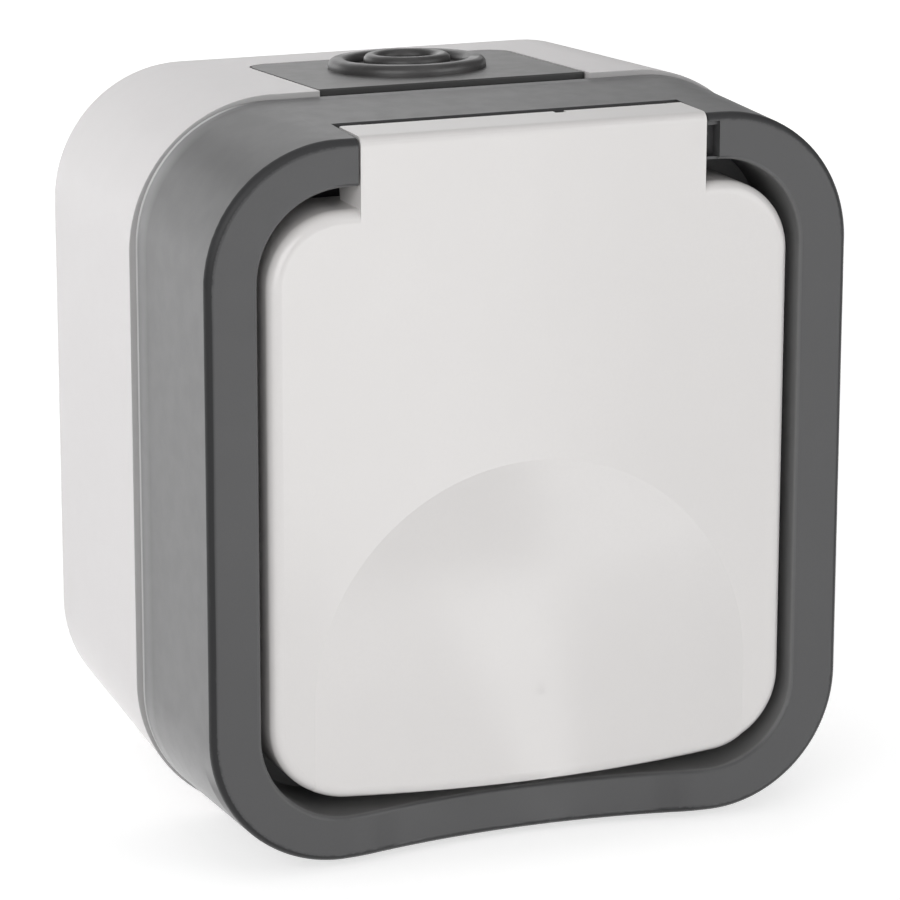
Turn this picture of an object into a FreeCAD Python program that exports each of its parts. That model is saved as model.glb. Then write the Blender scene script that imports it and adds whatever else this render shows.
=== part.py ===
import FreeCAD, Part
import math
import os
import Sketcher

# Outdoor weatherproof socket for surface mounting: a back box, a front frame, a sprung lid and an earthed insert.
# Row frame: X to the right, Z up, the wall plane at Y = 0 and the front towards -Y, origin in the middle of the wall
# face. A depth is a distance from the wall plane, so a point at depth d has Y = -d. All sizes are in millimetres.

V = FreeCAD.Vector
doc = FreeCAD.newDocument("weatherproof_socket")
sheet = doc.addObject("Spreadsheet::Sheet", "sizes")

DRIVING_SIZES = [
    # back box
    ("box_depth", 33.5, "wall face to the seam with the front frame"),
    ("box_rear_width", 73.9, "outline against the wall"),
    ("box_rear_height", 79.3, "outline against the wall"),
    ("box_rear_corner", 15.4, "corner radius against the wall"),
    ("box_front_width", 77.2, "outline at the seam"),
    ("box_front_height", 82.6, "outline at the seam"),
    ("box_front_corner", 16.7, "corner radius at the seam"),
    ("box_wall", 2.4, "side wall"),
    ("box_floor", 2.4, "back wall"),
    ("box_edge_round", 0.12, "outer edge at the seam"),
    ("knockout_radius", 10.0, "break-out ring in the bottom wall"),
    ("knockout_groove", 0.8, "width of the break-out groove"),
    ("knockout_depth", 1.2, "depth of the break-out groove"),
    ("knockout_setback", 17.0, "depth of the break-out centre"),
    ("wall_hole_inset", 9.65, "wall screw holes from the upper and lower edges"),
    ("wall_hole_radius", 2.3, "wall screw hole"),
    ("seal_washer_radius", 4.6, "washer under each wall screw"),
    ("seal_washer_height", 1.6, "washer thickness"),
    ("washer_recess", 0.8, "recess for the washer in the back wall"),
    # cable entry
    ("plate_width", 32.0, "visible width of the entry plate"),
    ("plate_back", 7.5, "depth of the plate's rear edge"),
    ("plate_corner", 3.0, "rear corners of the plate"),
    ("plate_gap", 0.25, "gap round the plate"),
    ("plate_front_gap", 0.15, "gap between the plate and the seam gasket"),
    ("plate_edge_round", 0.2, "front edge of the plate"),
    ("plate_flange", 2.2, "flange past the slot on the inside"),
    ("plate_flange_height", 1.3, "flange thickness"),
    ("grommet_depth", 18.3, "depth of the grommet's axis"),
    ("grommet_radius", 9.1, "outer ring"),
    ("grommet_ring_inner", 6.8, "inside of the outer ring"),
    ("grommet_ring_height", 1.2, "outer ring above the plate"),
    ("grommet_ring_round", 0.85, "edges of the outer ring"),
    ("grommet_hub_radius", 5.0, "inner ring"),
    ("grommet_hub_height", 1.65, "inner ring above the plate"),
    ("grommet_hub_round", 0.75, "edges of the inner ring"),
    ("grommet_moat_height", 0.2, "floor between the rings"),
    ("grommet_cup_radius", 3.3, "cup in the middle"),
    ("grommet_cup_floor", -0.9, "membrane's upper face"),
    ("grommet_membrane", 0.7, "membrane thickness"),
    ("grommet_neck_radius", 7.4, "neck through the plate"),
    ("grommet_lip_radius", 8.5, "snap lip under the plate"),
    ("grommet_lip_height", 1.6, "snap lip thickness"),
    # front frame
    ("frame_depth", 23.0, "seam to the front face"),
    ("frame_width", 75.0, "front outline"),
    ("frame_height", 80.3, "front outline"),
    ("frame_corner", 15.2, "front corner radius"),
    ("frame_flare_side", 0.42, "widening towards the seam on each side"),
    ("frame_flare_top", 0.55, "widening towards the seam at top and bottom"),
    ("frame_wall", 2.2, "side wall"),
    ("frame_skin", 2.0, "front wall"),
    ("frame_edge_round", 0.95, "outer front edge"),
    ("seam_chamfer", 0.3, "rear outer edge"),
    ("opening_width", 63.5, "opening for the lid"),
    ("opening_height", 70.1, "opening for the lid"),
    ("opening_corner", 10.0, "corner radius of the opening"),
    ("opening_round", 0.5, "front edge of the opening"),
    ("opening_wall", 1.5, "wall round the opening"),
    ("recess_depth", 11.0, "front face to the recess floor"),
    ("recess_floor", 2.0, "recess floor thickness"),
    ("tongue_depth", 3.0, "locating tongue past the seam"),
    ("tongue_wall", 1.3, "locating tongue thickness"),
    ("tongue_gap", 0.3, "tongue to box wall"),
    ("gasket_width", 1.0, "seam gasket section"),
    ("gasket_height", 0.9, "seam gasket section"),
    ("scoop_depth", 2.6, "finger scoop at its middle"),
    ("scoop_half_width", 22.5, "finger scoop"),
    ("scoop_end_round", 18.5, "rounding where the scoop runs out into the front face"),
    ("scoop_backing", 3.2, "solid bar behind the scoop"),
    # hinge
    ("pivot_setback", 3.2, "hinge axis behind the front face"),
    ("pivot_height", 37.1, "hinge axis above the centre"),
    ("pin_radius", 1.0, "hinge pin"),
    ("pin_fit", 0.04, "pin in the frame, radial"),
    ("pin_running_gap", 0.08, "pin in the lid, radial"),
    ("pin_reach", 22.6, "half the pin's length"),
    ("pin_slot", 0.86, "slot in the pin for the spring's end"),
    ("slot_side_gap", 0.25, "tab to slot on each side"),
    ("slot_setback", 8.5, "rear wall of the hinge slot"),
    ("hinge_block_half", 24.4, "half width of the hinge block"),
    ("hinge_block_back", 1.8, "wall behind the hinge slot"),
    ("window_width", 1.35, "shallow pocket beside the slot"),
    ("window_height", 3.5, "pocket beside the slot"),
    ("window_depth", 1.8, "pocket beside the slot"),
    ("window_bevel", 0.5, "step above and below the pocket"),
    # lid
    ("lid_half_width", 30.45, "lid outline"),
    ("lid_low", -32.8, "bottom edge of the lid"),
    ("lid_high", 32.5, "shoulders of the lid"),
    ("lid_low_corner", 8.4, "bottom corners of the lid"),
    ("lid_high_corner", 8.2, "shoulder corners of the lid"),
    ("lid_depth", 8.2, "side walls of the lid"),
    ("lid_skin", 2.2, "front wall of the lid"),
    ("lid_side", 1.8, "side wall thickness of the lid"),
    ("lid_edge_round", 1.4, "front edge of the lid"),
    ("arch_radius", 25.7, "raised arch on the lid"),
    ("arch_height", -22.5, "centre of the arch"),
    ("arch_bulge_radius", 100.0, "curvature of the raised arch"),
    ("tab_half_width", 20.1, "hinge tab"),
    ("tab_depth", 6.75, "top of the tab, front to back"),
    ("tab_round", 1.0, "top front edge of the tab"),
    ("tab_rise", 0.2, "top of the tab above the frame's front edge"),
    ("tab_skin", 1.25, "walls of the tab between its ears"),
    ("tab_notch", 1.3, "notch in the tab's rear edge"),
    ("tab_notch_depth", 0.85, "notch in the tab's rear edge"),
    ("tab_notch_place", 5.4, "notch to the right of the middle"),
    ("left_ear", 2.6, "left ear of the tab"),
    ("right_ear", 1.6, "right ear of the tab"),
    ("ear_extra", 0.55, "ears behind the rear edge of the tab's top"),
    ("ear_round", 0.5, "upper rear edge of the ears"),
    ("ear_bevel", 0.8, "outer rear corner of the left ear"),
    ("ear_drop", 2.9, "ears below the hinge axis"),
    ("seal_channel", 2.0, "groove for the lid seal"),
    ("seal_rib", 1.2, "rib inside the seal groove"),
    ("seal_seat", 3.0, "seal groove behind the lid's rear edge"),
    ("seal_rib_drop", 1.2, "rib below the lid's rear edge"),
    ("seal_side_gap", 0.05, "seal to its groove"),
    ("seal_face_gap", 0.3, "seal to the recess floor"),
    # lid spring
    ("spring_wire", 0.25, "wire radius"),
    ("spring_coil", 1.38, "coil radius to the middle of the wire"),
    ("spring_pitch", 0.62, "coil pitch"),
    ("spring_turns", 5.0, "number of turns"),
    ("spring_start", 2.4, "right end of the coil"),
    ("spring_leg", 3.1, "leg below the axis"),
    # insert
    ("well_radius", 19.5, "plug well"),
    ("well_depth", 17.5, "plug well"),
    ("well_wall", 1.8, "wall round the plug well"),
    ("well_bottom", 2.2, "bottom of the plug well"),
    ("collar_radius", 23.4, "collar of the cover"),
    ("collar_rise", 2.0, "collar in front of the recess floor"),
    ("collar_gap", 0.3, "collar to the window in the floor"),
    ("collar_round", 0.8, "edges of the collar"),
    ("flange_radius", 25.4, "flange behind the recess floor"),
    ("flange_height", 1.8, "flange behind the recess floor"),
    ("pin_pitch", 19.0, "between the plug's pins"),
    ("pin_hole_radius", 2.7, "holes for the plug's pins"),
    ("key_width", 3.8, "guide rib in the well"),
    ("key_rise", 2.2, "guide rib in the well"),
    ("clip_window", 6.8, "earth clip window"),
    ("clip_window_front", 41.0, "front end of the earth clip window"),
    ("base_radius", 20.8, "insert base"),
    ("base_height", 19.8, "insert base"),
    ("post_radius", 3.4, "screw posts"),
    ("lug_reach", 24.3, "base screws from the centre"),
    ("lug_height", 3.0, "base lugs"),
    ("chamber_inner", 5.0, "contact chamber, side next to the middle"),
    ("chamber_outer", 13.7, "contact chamber, outer side"),
    ("chamber_low", -4.5, "contact chamber"),
    ("chamber_high", 14.6, "contact chamber"),
    ("chamber_depth", 17.5, "contact chamber"),
    ("plug_pin_radius", 2.4, "pin of the plug that the contacts take"),
    ("contact_gap", 0.05, "contact sleeve to the plug's pin, sprung open"),
    ("contact_wall", 0.6, "contact sheet"),
    ("contact_length", 12.0, "contact sleeve"),
    ("contact_slit", 1.1, "slit of the contact sleeve"),
    ("strip_thick", 0.8, "strip metal"),
    ("clamp_width", 6.8, "terminal clamp"),
    ("clamp_rise", 6.4, "terminal clamp"),
    ("clamp_height", 6.0, "terminal clamp"),
    ("clamp_centre", 10.9, "line terminals above the centre"),
    ("earth_clamp_centre", -12.6, "earth terminal below the centre"),
    ("wire_hole", 1.7, "wire entry of a clamp"),
    ("strip_width", 6.0, "earth strip"),
    ("clip_reach", 17.9, "earth clip's bow from the centre"),
    ("clip_root", 19.6, "earth clip's root from the centre"),
    # screws
    ("screw_clearance", 0.05, "screw shank to its hole"),
    ("frame_screw_x", 21.5, "frame screws from the centre"),
    ("frame_screw_z", 24.0, "frame screws from the centre"),
    ("frame_screw_radius", 1.6, "frame screw shank"),
    ("frame_screw_length", 22.0, "frame screw shank"),
    ("frame_post_depth", 30.0, "top of the box's frame posts"),
    ("frame_boss_gap", 0.3, "frame boss to the box's post"),
    ("head_radius", 2.9, "pan head"),
    ("head_height", 1.8, "pan head"),
    ("sunk_head_height", 1.5, "countersunk head"),
    ("head_slot", 0.8, "driver slot"),
    ("head_slot_depth", 0.9, "driver slot"),
    ("head_recess_radius", 3.3, "recess for a head"),
    ("cover_screw_radius", 1.5, "cover screw shank"),
    ("cover_screw_length", 11.0, "cover screw shank"),
    ("insert_screw_radius", 1.6, "insert screw shank"),
    ("insert_screw_length", 8.0, "insert screw shank"),
    ("terminal_screw_radius", 1.25, "terminal screw shank"),
    ("terminal_head_radius", 1.9, "terminal screw head"),
    ("terminal_head_height", 1.4, "terminal screw head"),
]

for row, (alias, value, meaning) in enumerate(DRIVING_SIZES, start=1):
    sheet.set("A%d" % row, meaning)
    sheet.set("B%d" % row, str(value))
    sheet.setAlias("B%d" % row, alias)
doc.recompute()


class Size:
    """A size or a sum of sizes: the text binds a feature to the sheet, the number is its value now."""

    def __init__(self, text, number):
        self.text = text
        self.number = number

    def join(self, mark, other, number):
        return Size("(%s %s %s)" % (self.text, mark, other.text), number)

    def __add__(self, other):
        other = size(other)
        return self.join("+", other, self.number + other.number)

    def __sub__(self, other):
        other = size(other)
        return self.join("-", other, self.number - other.number)

    def __mul__(self, other):
        other = size(other)
        return self.join("*", other, self.number * other.number)

    def __truediv__(self, other):
        other = size(other)
        return self.join("/", other, self.number / other.number)

    def __neg__(self):
        return Size("(0 - %s)" % self.text, -self.number)


def size(value):
    return value if isinstance(value, Size) else Size("(%s)" % float(value), float(value))


class Sizes:
    """Each driving size by its name."""

    def __getattr__(self, alias):
        return Size("sizes.%s" % alias, float(getattr(sheet, alias)))


S = Sizes()
ZERO = size(0)


# Places that several pieces share

front = S.box_depth + S.frame_depth
recess = front - S.recess_depth
floor_back = recess - S.recess_floor
pivot_depth = front - S.pivot_setback
slot_back = front - S.slot_setback
slot_half = S.tab_half_width + S.slot_side_gap
lid_back = front - S.lid_depth
lid_inner = front - S.lid_skin
collar_front = recess + S.collar_rise
well_floor = collar_front - S.well_depth
cover_back = well_floor - S.well_bottom
base_seat = cover_back - S.base_height
flange_back = floor_back - S.flange_height
pin_x = S.pin_pitch / 2
frame_top = S.frame_height / 2
tab_top = frame_top + S.tab_rise
wall_hole_z = S.box_rear_height / 2 - S.wall_hole_inset


# Small tools for bodies, sketches and features

def bind(thing, name, value):
    thing.setExpression(name, size(value).text)


def new_body(label):
    body = doc.addObject("PartDesign::Body", label)
    body.Label = label
    return body


def origin_plane(body, role):
    return next(item for item in body.Origin.OriginFeatures if item.Role == role)


def new_sketch(body, name, role, offset=None):
    """A sketch on an origin plane, or a distance in front of it. On XZ_Plane that distance is a depth."""
    sketch = body.newObject("Sketcher::SketchObject", name)
    sketch.AttachmentSupport = [(origin_plane(body, role), "")]
    sketch.MapMode = "FlatFace"
    if offset is not None:
        bind(sketch, "AttachmentOffset.Base.z", offset)
    return sketch


def fix_value(sketch, kind, *where_and_value):
    """Adds a constraint whose value follows the sheet."""
    *where, value = where_and_value
    value = size(value)
    index = sketch.addConstraint(Sketcher.Constraint(kind, *where, value.number))
    bind(sketch, "Constraints[%d]" % index, value)


def fix_point(sketch, line, end, x, z):
    fix_value(sketch, "DistanceX", -1, 1, line, end, x)
    fix_value(sketch, "DistanceY", -1, 1, line, end, z)


def rounded_box(sketch, left, right, low, high, low_round=None, high_round=None):
    """Four straight sides, with arcs at the lower and upper corners where a radius is given."""
    x0, x1, z0, z1 = (size(v).number for v in (left, right, low, high))
    r0 = size(low_round).number if low_round else 0.0
    r1 = size(high_round).number if high_round else 0.0
    ends = [
        (x0 + r0, z0, x1 - r0, z0),
        (x1, z0 + r0, x1, z1 - r1),
        (x1 - r1, z1, x0 + r1, z1),
        (x0, z1 - r1, x0, z0 + r0),
    ]
    sides = [sketch.addGeometry(Part.LineSegment(V(a, b, 0), V(c, d, 0))) for a, b, c, d in ends]
    for side, kind in zip(sides, ("Horizontal", "Vertical", "Horizontal", "Vertical")):
        sketch.addConstraint(Sketcher.Constraint(kind, side))
    corners = [
        (x1 - r0, z0 + r0, r0, -0.5, low_round),
        (x1 - r1, z1 - r1, r1, 0.0, high_round),
        (x0 + r1, z1 - r1, r1, 0.5, high_round),
        (x0 + r0, z0 + r0, r0, 1.0, low_round),
    ]
    for number, (x, z, radius, start, given) in enumerate(corners):
        before, after = sides[number], sides[(number + 1) % 4]
        if not given:
            sketch.addConstraint(Sketcher.Constraint("Coincident", before, 2, after, 1))
            continue
        circle = Part.Circle(V(x, z, 0), V(0, 0, 1), radius)
        arc = sketch.addGeometry(Part.ArcOfCircle(circle, start * math.pi, (start + 0.5) * math.pi))
        sketch.addConstraint(Sketcher.Constraint("Tangent", before, 2, arc, 1))
        sketch.addConstraint(Sketcher.Constraint("Tangent", arc, 2, after, 1))
        fix_value(sketch, "Radius", arc, given)
    fix_value(sketch, "DistanceY", -1, 1, sides[0], 1, low)
    fix_value(sketch, "DistanceX", -1, 1, sides[1], 1, right)
    fix_value(sketch, "DistanceY", -1, 1, sides[2], 1, high)
    fix_value(sketch, "DistanceX", -1, 1, sides[3], 1, left)


def centred_box(sketch, width, height, corner=None):
    width, height = size(width), size(height)
    rounded_box(sketch, -width / 2, width / 2, -height / 2, height / 2, corner, corner)


def polygon(sketch, points, arcs=None):
    """Sides through the points, each point held by its own two distances. A side named in arcs, by the number of
    its first point, has that radius and bulges to the left (1) or to the right (-1) of the way round."""
    arcs = arcs or {}
    seeds = [V(size(x).number, size(z).number, 0) for x, z in points]
    sides = []
    for i, first in enumerate(seeds):
        last = seeds[(i + 1) % len(seeds)]
        if i in arcs:
            radius, hand = arcs[i]
            arc = sketch.addGeometry(Part.Arc(first, arc_middle(first, last, size(radius).number, hand), last))
            turned = sketch.getPoint(arc, 1).distanceToPoint(first) > sketch.getPoint(arc, 2).distanceToPoint(first)
            sides.append((arc, 2, 1) if turned else (arc, 1, 2))
        else:
            sides.append((sketch.addGeometry(Part.LineSegment(first, last)), 1, 2))
    for i, (side, start, end) in enumerate(sides):
        following, following_start, _ = sides[(i + 1) % len(sides)]
        sketch.addConstraint(Sketcher.Constraint("Coincident", side, end, following, following_start))
        fix_point(sketch, side, start, *points[i])
        if i in arcs:
            fix_value(sketch, "Radius", side, arcs[i][0])


def arc_middle(first, last, radius, hand):
    """The middle point of the shorter arc of a radius between two points."""
    half = (last - first) * 0.5
    rise = radius - math.sqrt(radius ** 2 - half.Length ** 2)
    return first + half + V(-half.y, half.x, 0).normalize() * (rise * hand)


def circle(sketch, x, z, radius):
    x, z, radius = size(x), size(z), size(radius)
    ring = sketch.addGeometry(Part.Circle(V(x.number, z.number, 0), V(0, 0, 1), radius.number))
    fix_point(sketch, ring, 3, x, z)
    fix_value(sketch, "Radius", ring, radius)


def profiled(body, kind, name, sketch, **values):
    """A pad, pocket, revolution or groove of a sketch, with its own sizes bound to the sheet."""
    feature = body.newObject("PartDesign::" + kind, name)
    feature.Profile = sketch
    sketch.Visibility = False
    for key, value in values.items():
        if isinstance(value, (Size, float)):
            bind(feature, key, value)
        else:
            setattr(feature, key, value)
    return feature


def pad(body, name, sketch, length, **values):
    return profiled(body, "Pad", name, sketch, Length=size(length), **values)


def pocket(body, name, sketch, length, **values):
    return profiled(body, "Pocket", name, sketch, Length=size(length), **values)


def loft(body, kind, name, first, *rest):
    feature = body.newObject("PartDesign::" + kind, name)
    feature.Profile = first
    feature.Sections = list(rest)
    feature.Ruled = True
    return feature


def edges_of(feature, test):
    """The names of the edges whose sampled points all pass the test."""
    doc.recompute()
    names = []
    for number, edge in enumerate(feature.Shape.Edges, start=1):
        samples = [edge.valueAt(edge.FirstParameter + (edge.LastParameter - edge.FirstParameter) * k / 4)
                   for k in range(5)]
        if all(test(point) for point in samples):
            names.append("Edge%d" % number)
    return names


def fillet(body, name, feature, radius, test):
    rounding = body.newObject("PartDesign::Fillet", name)
    rounding.Base = (feature, edges_of(feature, test))
    bind(rounding, "Radius", radius)
    return rounding


def near(value, target, slack=0.02):
    return abs(value - size(target).number) < slack


def at_depth(point, depth):
    return near(point.y, -size(depth))


def off_outline(point, width, height, corner):
    """How far a point lies outside a centred rounded outline, seen from the front."""
    half_x, half_z, corner = size(width).number / 2, size(height).number / 2, size(corner).number
    over_x = max(abs(point.x) - (half_x - corner), 0)
    over_z = max(abs(point.z) - (half_z - corner), 0)
    return math.hypot(over_x, over_z) - corner


# Back box

def box_outline(sketch, depth, inset):
    """The box's outline at a depth, between its rear and front outlines, drawn in by an inset."""
    share = size(depth) / S.box_depth
    width = S.box_rear_width + (S.box_front_width - S.box_rear_width) * share - size(inset) * 2
    height = S.box_rear_height + (S.box_front_height - S.box_rear_height) * share - size(inset) * 2
    corner = S.box_rear_corner + (S.box_front_corner - S.box_rear_corner) * share - size(inset)
    centred_box(sketch, width, height, corner)


def box_section(body, name, depth, inset):
    sketch = new_sketch(body, name, "XZ_Plane", depth)
    box_outline(sketch, depth, inset)
    return sketch


box_slope = math.degrees(math.atan((S.box_front_height.number - S.box_rear_height.number) / 2 / S.box_depth.number))
BOX_SLOPE_TEXT = "atan((sizes.box_front_height - sizes.box_rear_height) / 2 / sizes.box_depth)"


def wall_top(depth):
    """Height of the box's outer top face at a depth."""
    rise = (S.box_front_height - S.box_rear_height) / 2
    return S.box_rear_height / 2 + rise * size(depth) / S.box_depth


def make_back_box():
    body = new_body("back_box")
    loft(body, "AdditiveLoft", "BoxForm", box_section(body, "BoxRear", ZERO, ZERO),
         box_section(body, "BoxFront", S.box_depth, ZERO))
    cavity = loft(body, "SubtractiveLoft", "BoxCavity", box_section(body, "CavityRear", S.box_floor, S.box_wall),
                  box_section(body, "CavityFront", S.box_depth, S.box_wall))
    fillet(body, "SeamEdge", cavity, S.box_edge_round, lambda p: at_depth(p, S.box_depth) and near(
        off_outline(p, S.box_front_width, S.box_front_height, S.box_front_corner), ZERO))
    rebate = new_sketch(body, "GasketRebate", "XZ_Plane", S.box_depth)
    inset = S.box_wall - S.gasket_width
    centred_box(rebate, S.box_front_width - inset * 2, S.box_front_height - inset * 2, S.box_front_corner - inset)
    pocket(body, "GasketSeat", rebate, S.gasket_height)
    notch = new_sketch(body, "EntryNotch", "XY_Plane", S.box_front_height / 4)
    half = S.plate_width / 2 + S.plate_gap
    rounded_box(notch, -half, half, -(S.box_depth + 1), -(S.plate_back - S.plate_gap), None,
                S.plate_corner + S.plate_gap)
    pocket(body, "EntrySlot", notch, S.box_front_height / 2, Reversed=True)
    for name, x, z, top in post_places():
        post = new_sketch(body, name, "XZ_Plane", S.box_floor / 2)
        circle(post, x, z, S.post_radius)
        pad(body, name + "Pad", post, size(top) - S.box_floor / 2)
    for name, x, z, radius, top, depth in screw_hole_places():
        hole = new_sketch(body, name, "XZ_Plane", top)
        circle(hole, x, z, radius)
        pocket(body, name + "Cut", hole, depth)
    ring = new_sketch(body, "BreakOutRing", "XY_Plane", -(S.box_front_height / 2 + 1))
    circle(ring, ZERO, -S.knockout_setback, S.knockout_radius)
    circle(ring, ZERO, -S.knockout_setback, S.knockout_radius - S.knockout_groove)
    rise = S.box_front_height / 2 + 1 - wall_top(S.knockout_setback) + S.knockout_depth
    pocket(body, "BreakOutGroove", ring, rise, Reversed=True)
    return body


def post_places():
    return [
        ("FramePostHigh", -S.frame_screw_x, S.frame_screw_z, S.frame_post_depth),
        ("FramePostLow", S.frame_screw_x, -S.frame_screw_z, S.frame_post_depth),
        ("InsertPostLeft", -S.lug_reach, ZERO, base_seat),
        ("InsertPostRight", S.lug_reach, ZERO, base_seat),
    ]


def screw_hole_places():
    frame_hole = S.frame_screw_radius + S.screw_clearance
    insert_hole = S.insert_screw_radius + S.screw_clearance
    frame_bore = S.frame_post_depth - S.box_floor - 1
    return [
        ("FrameHoleHigh", -S.frame_screw_x, S.frame_screw_z, frame_hole, S.frame_post_depth, frame_bore),
        ("FrameHoleLow", S.frame_screw_x, -S.frame_screw_z, frame_hole, S.frame_post_depth, frame_bore),
        ("InsertHoleLeft", -S.lug_reach, ZERO, insert_hole, base_seat, base_seat - S.box_floor),
        ("InsertHoleRight", S.lug_reach, ZERO, insert_hole, base_seat, base_seat - S.box_floor),
        ("WallHoleHigh", ZERO, wall_hole_z, S.wall_hole_radius, S.box_floor, S.box_floor),
        ("WallHoleLow", ZERO, -wall_hole_z, S.wall_hole_radius, S.box_floor, S.box_floor),
        ("WasherSeatHigh", ZERO, wall_hole_z, S.seal_washer_radius, S.box_floor, S.washer_recess),
        ("WasherSeatLow", ZERO, -wall_hole_z, S.seal_washer_radius, S.box_floor, S.washer_recess),
    ]


# Cable entry in the top wall. The plate and the grommet lie in the sloping top face: their own frame has its origin
# on that face at the grommet's axis, with Z square to the face.

def lay_on_top_wall(body):
    bind(body, "Placement.Base.y", -S.grommet_depth)
    bind(body, "Placement.Base.z", wall_top(S.grommet_depth))
    body.Placement = FreeCAD.Placement(V(0, 0, 0), FreeCAD.Rotation(V(-1, 0, 0), box_slope))
    body.setExpression("Placement.Rotation.Angle", BOX_SLOPE_TEXT)


def make_top_entry_plate():
    body = new_body("top_entry_plate")
    lay_on_top_wall(body)
    to_front = S.box_depth - S.gasket_height - S.plate_front_gap - S.grommet_depth
    to_back = S.grommet_depth - S.plate_back
    half = S.plate_width / 2
    face = new_sketch(body, "PlateFace", "XY_Plane", -S.box_wall)
    rounded_box(face, -half, half, -to_front, to_back, None, S.plate_corner)
    skin = pad(body, "PlateSkin", face, S.box_wall)
    fillet(body, "PlateFrontEdge", skin, S.plate_edge_round, lambda p: near(p.z, 0) and near(p.y, -to_front))
    flange = new_sketch(body, "PlateFlange", "XY_Plane", -(S.box_wall + S.plate_gap + S.plate_flange_height))
    wide = half + S.plate_flange
    rounded_box(flange, -wide, wide, -(to_front - S.tongue_depth), to_back + S.plate_flange, None, S.plate_corner)
    pad(body, "PlateFlangePad", flange, S.plate_flange_height)
    neck = new_sketch(body, "PlateNeck", "XY_Plane", -(S.box_wall + S.plate_gap + S.plate_flange_height / 2))
    rounded_box(neck, -half, half, -(to_front - S.tongue_depth), to_back, None, S.plate_corner)
    pad(body, "PlateNeckPad", neck, S.plate_gap + S.plate_flange_height / 2 + S.box_wall / 2)
    hole = new_sketch(body, "GrommetHole", "XY_Plane", size(1))
    circle(hole, ZERO, ZERO, S.grommet_neck_radius + S.screw_clearance)
    pocket(body, "GrommetHoleCut", hole, S.box_wall * 4)
    return body


def make_top_grommet():
    body = new_body("top_grommet")
    lay_on_top_wall(body)
    under = -(S.box_wall + S.plate_gap + S.plate_flange_height)
    lip_low = under - S.grommet_lip_height
    cup_under = S.grommet_cup_floor - S.grommet_membrane
    cup_wall = S.grommet_cup_radius + S.grommet_membrane * 2
    skirt = S.grommet_neck_radius - S.grommet_membrane * 2
    profile = new_sketch(body, "GrommetProfile", "XZ_Plane")
    polygon(profile, [
        (ZERO, cup_under), (cup_wall, cup_under), (cup_wall, -S.grommet_membrane), (skirt, -S.grommet_membrane),
        (skirt, lip_low), (S.grommet_neck_radius, lip_low), (S.grommet_lip_radius, under),
        (S.grommet_neck_radius, under), (S.grommet_neck_radius, ZERO), (S.grommet_radius, ZERO),
        (S.grommet_radius, S.grommet_ring_height), (S.grommet_ring_inner, S.grommet_ring_height),
        (S.grommet_ring_inner, S.grommet_moat_height), (S.grommet_hub_radius, S.grommet_moat_height),
        (S.grommet_hub_radius, S.grommet_hub_height), (S.grommet_cup_radius, S.grommet_hub_height),
        (S.grommet_cup_radius, S.grommet_cup_floor), (ZERO, S.grommet_cup_floor),
    ])
    form = profiled(body, "Revolution", "GrommetForm", profile, ReferenceAxis=(profile, ["V_Axis"]), Angle=360.0)
    tops = fillet(body, "RingEdges", form, S.grommet_ring_round, lambda p: near(p.z, S.grommet_ring_height))
    fillet(body, "HubEdges", tops, S.grommet_hub_round, lambda p: near(p.z, S.grommet_hub_height))
    return body


# Front frame

def frame_section(body, name, depth, inset):
    """The frame's outline at a depth, wider at the seam than at the front, drawn in by an inset."""
    share = (front - size(depth)) / S.frame_depth
    width = S.frame_width + S.frame_flare_side * 2 * share - size(inset) * 2
    height = S.frame_height + S.frame_flare_top * 2 * share - size(inset) * 2
    sketch = new_sketch(body, name, "XZ_Plane", depth)
    centred_box(sketch, width, height, S.frame_corner - size(inset))
    return sketch


def make_front_frame():
    body = new_body("front_frame")
    loft(body, "AdditiveLoft", "FrameForm",
         frame_section(body, "FrameRear", S.box_depth, S.seam_chamfer),
         frame_section(body, "FrameSeam", S.box_depth + S.seam_chamfer, ZERO),
         frame_section(body, "FrameFront", front, ZERO))
    loft(body, "SubtractiveLoft", "FrameCavity", frame_section(body, "HollowRear", S.box_depth, S.frame_wall),
         frame_section(body, "HollowFront", front - S.frame_skin, S.frame_wall))
    add_backing(body)
    add_scoop(body)
    add_recess(body)
    add_hinge_slot(body)
    add_tongue(body)
    add_frame_screw_bosses(body)
    return body


def add_backing(body):
    """Solid plastic behind the front wall: round the recess, at the hinge and behind the finger scoop."""
    shell = new_sketch(body, "RecessShell", "XZ_Plane", floor_back)
    centred_box(shell, S.opening_width + S.opening_wall * 2, S.opening_height + S.opening_wall * 2,
                S.opening_corner + S.opening_wall)
    pad(body, "RecessBlock", shell, front - S.frame_skin / 2 - floor_back)
    inner, outer = S.opening_height / 2, frame_top - S.frame_wall / 2
    hinge = new_sketch(body, "HingeBlock", "XZ_Plane", slot_back - S.hinge_block_back)
    rounded_box(hinge, -S.hinge_block_half, S.hinge_block_half, inner, outer)
    pad(body, "HingeBlockPad", hinge, front - S.frame_skin / 2 - slot_back + S.hinge_block_back)
    bar = new_sketch(body, "ScoopBar", "XZ_Plane", front - S.frame_skin - S.scoop_backing)
    rounded_box(bar, -S.hinge_block_half, S.hinge_block_half, -outer, -(inner + S.opening_wall / 2))
    pad(body, "ScoopBarPad", bar, S.scoop_backing + S.frame_skin / 2)


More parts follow.
